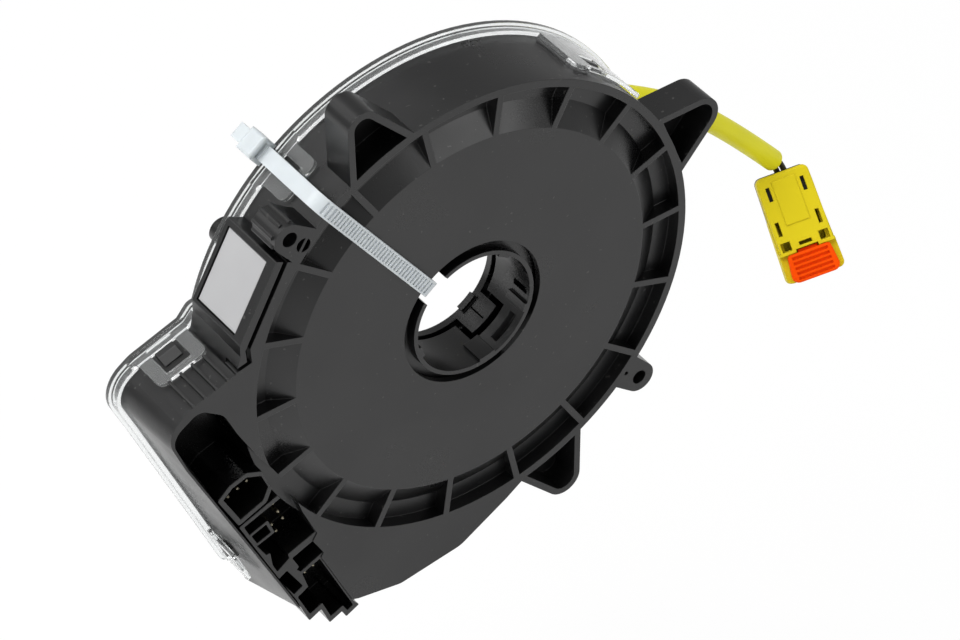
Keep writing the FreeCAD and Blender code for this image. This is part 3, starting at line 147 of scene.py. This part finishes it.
class Graph:
    """A material's node tree, filled through one method."""

    def __init__(self, name: str) -> None:
        """Start an empty material.

        Args:
            name: Name of the material.
        """
        self.material = bpy.data.materials.new(name)
        self.material.use_nodes = True
        self.tree = self.material.node_tree
        self.tree.nodes.clear()
        self.output = self.tree.nodes.new("ShaderNodeOutputMaterial")

    def node(
        self, kind: str, settings: dict[str, object], inputs: dict[object, object],
        out: object = 0,
    ) -> Sock:
        """Add a node.

        Args:
            kind: Node type.
            settings: Attributes set before the sockets.
            inputs: Values or wrapped sockets by input name or number.
            out: Name or number of the output that is returned.

        Returns:
            The wrapped output.
        """
        made = self.tree.nodes.new(kind)
        for key, value in settings.items():
            setattr(made, key, value)
        for key, value in inputs.items():
            socket = made.inputs[key]
            if isinstance(value, Sock):
                self.tree.links.new(value.socket, socket)
            else:
                socket.default_value = value
        return Sock(self, made.outputs[out])

    def noise(self, scale: float, detail: float, seed: float = 0.0) -> Sock:
        """Noise over the piece's own space.

        Args:
            scale: Cells per metre.
            detail: Octaves.
            seed: Shift that sets one noise apart from another.

        Returns:
            The noise value, about 0.5 on average.
        """
        place = self.node("ShaderNodeTexCoord", {}, {}, "Object")
        moved = self.node(
            "ShaderNodeVectorMath", {"operation": "ADD"}, {0: place, 1: (seed, seed, seed)}
        )
        return self.node(
            "ShaderNodeTexNoise", {}, {"Vector": moved, "Scale": scale, "Detail": detail}
        )

    def mix(self, factor: object, first: object, second: object) -> Sock:
        """Mix of two colours.

        Args:
            factor: Share of the second colour.
            first: Colour or wrapped socket.
            second: Colour or wrapped socket.

        Returns:
            The mixed colour.
        """
        return self.node(
            "ShaderNodeMix", {"data_type": "RGBA"}, {0: factor, 6: first, 7: second}, 2
        )

    def bump(self, height: Sock, strength: float, reach: float, round_edge: float) -> Sock:
        """Normal from a height, over rounded edges.

        Args:
            height: Wrapped height.
            strength: Strength of the relief.
            reach: Depth of the relief in metres.
            round_edge: Radius of the edges' rounding in metres.

        Returns:
            The wrapped normal.
        """
        inputs: dict[object, object] = {
            "Height": height, "Strength": strength, "Distance": reach,
        }
        if round_edge > 0:
            inputs["Normal"] = self.node(
                "ShaderNodeBevel", {"samples": BEVEL_SAMPLES}, {"Radius": round_edge}
            )
        return self.node("ShaderNodeBump", {}, inputs)

    def surface(self, inputs: dict[object, object]) -> None:
        """End the tree in one Principled shader.

        Args:
            inputs: Values or wrapped sockets by the shader's input names.
        """
        shader = self.node("ShaderNodeBsdfPrincipled", {}, inputs)
        self.tree.links.new(shader.socket, self.output.inputs["Surface"])



@dataclass(frozen=True)
class Moulded:
    """Moulded plastic with a fine grain, faint clouding and sparse dust."""

    name: str
    tint: Colour
    rough: float = 0.42
    rough_swing: float = 0.08
    grain: float = 2600.0
    relief: float = 0.06
    clouding: float = 0.25
    dust: float = 0.0
    edge_mm: float = 0.22
    gloss: float = 0.5
    cloud_scale: float = 38.0
    cloud_seed: float = 0.7
    dust_scale: float = 900.0
    dust_seed: float = 3.1
    dust_above: float = 0.735
    dust_tint: Colour = (0.45, 0.44, 0.42)
    fine_swing: float = 0.06
    relief_reach: float = 0.0002

    def make(self) -> bpy.types.Material:
        """Return the finished material."""
        g = Graph(self.name)
        cloud = g.noise(self.cloud_scale, 3.0, self.cloud_seed).spread(0.35, 0.65, 0.0, 1.0)
        fine = g.noise(self.grain, 2.0)
        dark = tuple(c * (1.0 - self.clouding) for c in self.tint)
        light = tuple(min(1.0, c * (1.0 + self.clouding)) for c in self.tint)
        colour = g.mix(cloud, (*dark, 1.0), (*light, 1.0))
        if self.dust > 0:
            speck = g.noise(self.dust_scale, 1.0, self.dust_seed) > self.dust_above
            colour = g.mix(speck * self.dust, colour, (*self.dust_tint, 1.0))
        rough = (
            self.rough + (cloud - 0.5) * self.rough_swing + (fine - 0.5) * self.fine_swing
        )
        g.surface(
            {
                "Base Color": colour,
                "Roughness": rough,
                "Specular IOR Level": self.gloss,
                "Normal": g.bump(fine, self.relief, self.relief_reach, self.edge_mm * MM),
            }
        )
        return g.material


@dataclass(frozen=True)
class Clear:
    """Clear plastic with a faint haze."""

    name: str
    tint: Colour
    rough: float = 0.07
    transmission: float = 0.96
    ior: float = 1.49
    haze_scale: float = 55.0
    haze_seed: float = 1.9
    haze_rough: float = 0.07
    relief: float = 0.02
    relief_reach: float = 0.0004
    edge_mm: float = 0.25

    def make(self) -> bpy.types.Material:
        """Return the finished material."""
        g = Graph(self.name)
        haze = g.noise(self.haze_scale, 3.0, self.haze_seed)
        g.surface(
            {
                "Base Color": (*self.tint, 1.0),
                "Roughness": self.rough + haze.spread(0.45, 0.7, 0.0, self.haze_rough),
                "Transmission Weight": self.transmission,
                "IOR": self.ior,
                "Normal": g.bump(haze, self.relief, self.relief_reach, self.edge_mm * MM),
            }
        )
        return g.material


@dataclass(frozen=True)
class Metal:
    """Plated contact metal."""

    name: str
    tint: Colour
    rough: float = 0.28
    wear_scale: float = 1800.0
    wear_swing: float = 0.2

    def make(self) -> bpy.types.Material:
        """Return the finished material."""
        g = Graph(self.name)
        wear = g.noise(self.wear_scale, 2.0)
        g.surface(
            {
                "Base Color": (*self.tint, 1.0),
                "Metallic": 1.0,
                "Roughness": self.rough + (wear - 0.5) * self.wear_swing,
            }
        )
        return g.material


@dataclass(frozen=True)
class Nylon:
    """Milky nylon of the shipping tie."""

    name: str
    tint: Colour
    rough: float = 0.3
    milk_scale: float = 160.0
    milk_rough: float = 0.12
    paler: float = 1.1
    transmission: float = 0.22
    inside: float = 0.25
    inside_reach: tuple[float, float, float] = (0.004, 0.004, 0.0035)
    inside_scale: float = 0.5
    ior: float = 1.5
    relief: float = 0.08
    relief_reach: float = 0.0003
    edge_mm: float = 0.15

    def make(self) -> bpy.types.Material:
        """Return the finished material."""
        g = Graph(self.name)
        milk = g.noise(self.milk_scale, 3.0)
        pale = tuple(min(1.0, c * self.paler) for c in self.tint)
        g.surface(
            {
                "Base Color": g.mix(milk, (*self.tint, 1.0), (*pale, 1.0)),
                "Roughness": self.rough + milk.spread(0.3, 0.7, 0.0, self.milk_rough),
                "Transmission Weight": self.transmission,
                "Subsurface Weight": self.inside,
                "Subsurface Radius": self.inside_reach,
                "Subsurface Scale": self.inside_scale,
                "IOR": self.ior,
                "Normal": g.bump(milk, self.relief, self.relief_reach, self.edge_mm * MM),
            }
        )
        return g.material


class Finish(Enum):
    """Finishes of the clock spring's pieces."""

    CASE = Moulded(
        "case_black", (0.0012, 0.0012, 0.0014), rough=0.35, rough_swing=0.16, dust=0.07
    )
    SOCKET = Moulded(
        "socket_black", (0.0009, 0.0009, 0.001), rough=0.28, grain=1500.0, relief=0.03, edge_mm=0.3
    )
    ROTOR = Moulded("rotor_black", (0.0011, 0.0011, 0.0013), rough=0.3, dust=0.06)
    COVER = Clear("clear_plastic", (0.93, 0.945, 0.945))
    LABEL = Moulded("label_blank", (0.31, 0.31, 0.315), rough=0.5, clouding=0.05, relief=0.03)
    PIN = Metal("pin_metal", (0.42, 0.38, 0.28))
    RIBBON = Moulded("ribbon_film", (0.5, 0.22, 0.06), rough=0.3, edge_mm=0.0)
    SLIP = Moulded("slip_film", (0.7, 0.7, 0.68), rough=0.4, clouding=0.05, edge_mm=0.0)
    LEAD = Moulded(
        "lead_yellow", (0.68, 0.64, 0.014), rough=0.42, gloss=0.2, clouding=0.06, grain=900.0,
        relief=0.08, edge_mm=0.0
    )
    WIRE = Moulded("wire_black", (0.015, 0.015, 0.015), rough=0.4, edge_mm=0.0)
    PLUG = Moulded(
        "plug_yellow", (0.62, 0.5, 0.006), rough=0.55, gloss=0.16, clouding=0.05, edge_mm=0.3
    )
    PLUG_DARK = Moulded("plug_dark", (0.012, 0.012, 0.011), rough=0.45, gloss=0.3)
    LOCK = Moulded(
        "lock_orange", (0.82, 0.066, 0.0), rough=0.5, gloss=0.05, clouding=0.06, edge_mm=0.25
    )
    TIE = Nylon("tie_nylon", (0.56, 0.6, 0.62))


class Wardrobe:
    """Keeps one material per finish."""

    def __init__(self) -> None:
        """Start empty."""
        self.made: dict[Finish, bpy.types.Material] = {}

    def dress(self, obj: bpy.types.Object, finish: Finish) -> None:
        """Give a piece its only material.

        Args:
            obj: Piece to dress.
            finish: Finish that it gets.
        """
        if finish not in self.made:
            self.made[finish] = finish.value.make()
        obj.data.materials.clear()
        obj.data.materials.append(self.made[finish])


@dataclass
class SubAssembly:
    """Pieces of the object that are dressed together."""

    wardrobe: Wardrobe
    title: str = "pieces"
    finishes: dict[str, Finish] = field(default_factory=dict)

    def dress_nodes(self) -> None:
        """Dress every CAD node of the sub-assembly."""
        for node, finish in self.finishes.items():
            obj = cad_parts[node]
            self.wardrobe.dress(obj, finish)
            LOG.info("%s: %s in %s", self.title, node, finish.value.name)

    def build(self) -> None:
        """Make and dress the sub-assembly's pieces."""
        self.dress_nodes()


@dataclass
class Case(SubAssembly):
    """Black case with its label, ribbon coil and inner parts."""

    title: str = "case"
    finishes: dict[str, Finish] = field(
        default_factory=lambda: {
            "rear_case": Finish.CASE,
            "side_label": Finish.LABEL,
            "flat_cable": Finish.RIBBON,
            "outer_terminal": Finish.CASE,
            "slip_sheets": Finish.SLIP,
        }
    )


@dataclass
class Cover(SubAssembly):
    """Clear cover on the wheel side."""

    title: str = "cover"
    finishes: dict[str, Finish] = field(
        default_factory=lambda: {"clear_cover": Finish.COVER}
    )


@dataclass
class Sockets(SubAssembly):
    """Socket housing and its pins."""

    title: str = "sockets"
    finishes: dict[str, Finish] = field(
        default_factory=lambda: {
            "connector_block": Finish.SOCKET,
            "pins_tower": Finish.PIN,
            "pins_wide": Finish.PIN,
            "pins_end": Finish.PIN,
        }
    )


@dataclass
class Rotor(SubAssembly):
    """Rotor, lock ring and wheel-side socket."""

    title: str = "rotor"
    finishes: dict[str, Finish] = field(
        default_factory=lambda: {
            "rotor": Finish.ROTOR,
            "lead_housing": Finish.ROTOR,
            "drive_bosses": Finish.ROTOR,
            "lock_ring": Finish.ROTOR,
            "wheel_connector": Finish.SOCKET,
            "wheel_pins": Finish.PIN,
        }
    )


@dataclass
class AirbagLead(SubAssembly):
    """Yellow lead, its two wires and its plug."""

    title: str = "airbag lead"
    finishes: dict[str, Finish] = field(
        default_factory=lambda: {
            "airbag_lead": Finish.LEAD,
            "lead_wire_a": Finish.WIRE,
            "lead_wire_b": Finish.WIRE,
            "plug_body": Finish.PLUG,
            "plug_cover": Finish.PLUG_DARK,
            "plug_terminals": Finish.PIN,
            "plug_lock": Finish.LOCK,
        }
    )
    radius_mm: float = 2.5
    round_steps: int = 16
    run_steps: int = 24
    height_mm: float = -30.0
    route_mm: tuple[tuple[float, float], ...] = (
        (38.3, 14.5), (46.2, -11.2), (59.2, -38.5), (64.2, -61.8), (66.0, -84.2),
    )

    def build(self) -> None:
        """Dress the nodes, then lay the sleeve as a smooth cord."""
        self.dress_nodes()
        self.lay_sleeve()

    def lay_sleeve(self) -> None:
        """Lay the yellow sleeve on the route of its CAD tube."""
        points = [from_build(x, y, self.height_mm) for x, y in self.route_mm]
        curve = bpy.data.curves.new("lead_sleeve", "CURVE")
        curve.dimensions = "3D"
        curve.bevel_depth = self.radius_mm * MM
        curve.bevel_resolution = self.round_steps
        curve.use_fill_caps = True
        spline = curve.splines.new("NURBS")
        spline.points.add(len(points) - 1)
        for target, point in zip(spline.points, points):
            target.co = (*point, 1.0)
        spline.order_u = 3
        spline.use_endpoint_u = True
        spline.resolution_u = self.run_steps
        spline.use_smooth = False
        sleeve = bpy.data.objects.new("lead_sleeve", curve)
        bpy.context.scene.collection.objects.link(sleeve)
        self.wardrobe.dress(sleeve, Finish.LEAD)
        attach(sleeve, "rotor")
        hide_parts("airbag_lead")
        LOG.info("airbag lead: sleeve laid over %d points", len(points))


@dataclass
class ShippingTie(SubAssembly):
    """Nylon tie through the bore."""

    title: str = "shipping tie"
    finishes: dict[str, Finish] = field(
        default_factory=lambda: {"shipping_tie": Finish.TIE}
    )


@dataclass
class Studio:
    """White floor, soft light and the camera."""

    floor_z: float = -0.125
    floor_half: float = 4.0
    world_level: float = 0.5
    lens_mm: float = 174.0
    eye: tuple[float, float, float] = (-0.4207, -0.5920, 0.6180)
    right: tuple[float, float, float] = (0.8139, -0.5809, 0.0)
    up: tuple[float, float, float] = (0.3772, 0.5286, 0.7604)
    sensor_mm: float = 36.0
    clip_m: tuple[float, float] = (0.05, 20.0)
    paper: float = 0.82
    glow_share: float = 0.94
    middle: tuple[float, float, float] = (0.0, 0.01, 0.0)
    lamps: tuple[tuple[str, tuple[float, float, float], float, float], ...] = (
        ("top_box", (-0.25, 0.15, 0.9), 0.7, 6.5),
        ("left_box", (-0.9, -0.25, 0.25), 0.6, 3.5),
        ("rear_box", (-0.8, 0.4, 0.8), 0.5, 4.0),
        ("front_box", (0.5, -0.9, 0.35), 0.6, 3.0),
    )

    def build(self) -> None:
        """Build the whole studio."""
        self.lay_floor()
        self.light_world()
        self.hang_lamps()
        self.set_camera()
        bpy.context.scene.view_settings.view_transform = "Standard"

    def lay_floor(self) -> None:
        """Lay a white floor that shows as plain white to the camera."""
        h = self.floor_half
        mesh = bpy.data.meshes.new("floor")
        corners = [(-h, -h, self.floor_z), (h, -h, self.floor_z), (h, h, self.floor_z),
                   (-h, h, self.floor_z)]
        mesh.from_pydata(corners, [], [(0, 1, 2, 3)])
        floor = bpy.data.objects.new("floor", mesh)
        bpy.context.scene.collection.objects.link(floor)
        g = Graph("floor_white")
        paper = (self.paper, self.paper, self.paper, 1.0)
        plain = g.node("ShaderNodeBsdfDiffuse", {}, {"Color": paper})
        glow = g.node("ShaderNodeEmission", {}, {"Color": (1, 1, 1, 1), "Strength": 1.0})
        seen = g.node("ShaderNodeLightPath", {}, {}, "Is Camera Ray")
        through = g.node("ShaderNodeLightPath", {}, {}, "Is Transmission Ray")
        share = (seen + through).clamped() * self.glow_share
        mixed = g.node("ShaderNodeMixShader", {}, {0: share, 1: plain, 2: glow})
        g.tree.links.new(mixed.socket, g.output.inputs["Surface"])
        floor.data.materials.append(g.material)
        LOG.info("studio: floor at %.3f m", self.floor_z)

    def light_world(self) -> None:
        """Soft white surroundings, plain white to the camera."""
        world = bpy.data.worlds.new("studio")
        bpy.context.scene.world = world
        world.use_nodes = True
        tree = world.node_tree
        tree.nodes.clear()
        out = tree.nodes.new("ShaderNodeOutputWorld")
        soft = tree.nodes.new("ShaderNodeBackground")
        soft.inputs["Strength"].default_value = self.world_level
        white = tree.nodes.new("ShaderNodeBackground")
        white.inputs["Color"].default_value = (1, 1, 1, 1)
        white.inputs["Strength"].default_value = 1.0
        soft.inputs["Color"].default_value = (1, 1, 1, 1)
        paths = tree.nodes.new("ShaderNodeLightPath")
        either = tree.nodes.new("ShaderNodeMath")
        either.operation = "MAXIMUM"
        tree.links.new(paths.outputs["Is Camera Ray"], either.inputs[0])
        tree.links.new(paths.outputs["Is Transmission Ray"], either.inputs[1])
        mix = tree.nodes.new("ShaderNodeMixShader")
        tree.links.new(either.outputs[0], mix.inputs[0])
        tree.links.new(soft.outputs[0], mix.inputs[1])
        tree.links.new(white.outputs[0], mix.inputs[2])
        tree.links.new(mix.outputs[0], out.inputs["Surface"])

    def hang_lamps(self) -> None:
        """Hang the square soft boxes, each aimed at the object's middle."""
        aim = Vector(self.middle)
        for name, place, size, watts in self.lamps:
            light = bpy.data.lights.new(name, "AREA")
            light.shape = "SQUARE"
            light.size = size
            light.energy = watts
            obj = bpy.data.objects.new(name, light)
            obj.location = place
            obj.rotation_euler = (aim - Vector(place)).to_track_quat("-Z", "Y").to_euler()
            bpy.context.scene.collection.objects.link(obj)
            LOG.info("studio: %s of %.1f W", name, watts)

    def set_camera(self) -> None:
        """Place the camera at the photograph's viewpoint."""
        right, up = Vector(self.right), Vector(self.up)
        back = right.cross(up)
        turn = Matrix((right, up, back)).transposed()
        data = bpy.data.cameras.new("camera")
        data.lens = self.lens_mm
        data.sensor_width = self.sensor_mm
        data.clip_start, data.clip_end = self.clip_m
        camera = bpy.data.objects.new("camera", data)
        camera.matrix_world = Matrix.Translation(Vector(self.eye)) @ turn.to_4x4()
        bpy.context.scene.collection.objects.link(camera)
        bpy.context.scene.camera = camera


def main() -> None:
    """Build every sub-assembly and the studio in order."""
    logging.basicConfig(level=logging.INFO, format="%(name)s %(message)s")
    wardrobe = Wardrobe()
    for kind in (Case, Cover, Sockets, Rotor, AirbagLead, ShippingTie):
        kind(wardrobe).build()
    Studio().build()


if __name__ == "__main__":
    main()
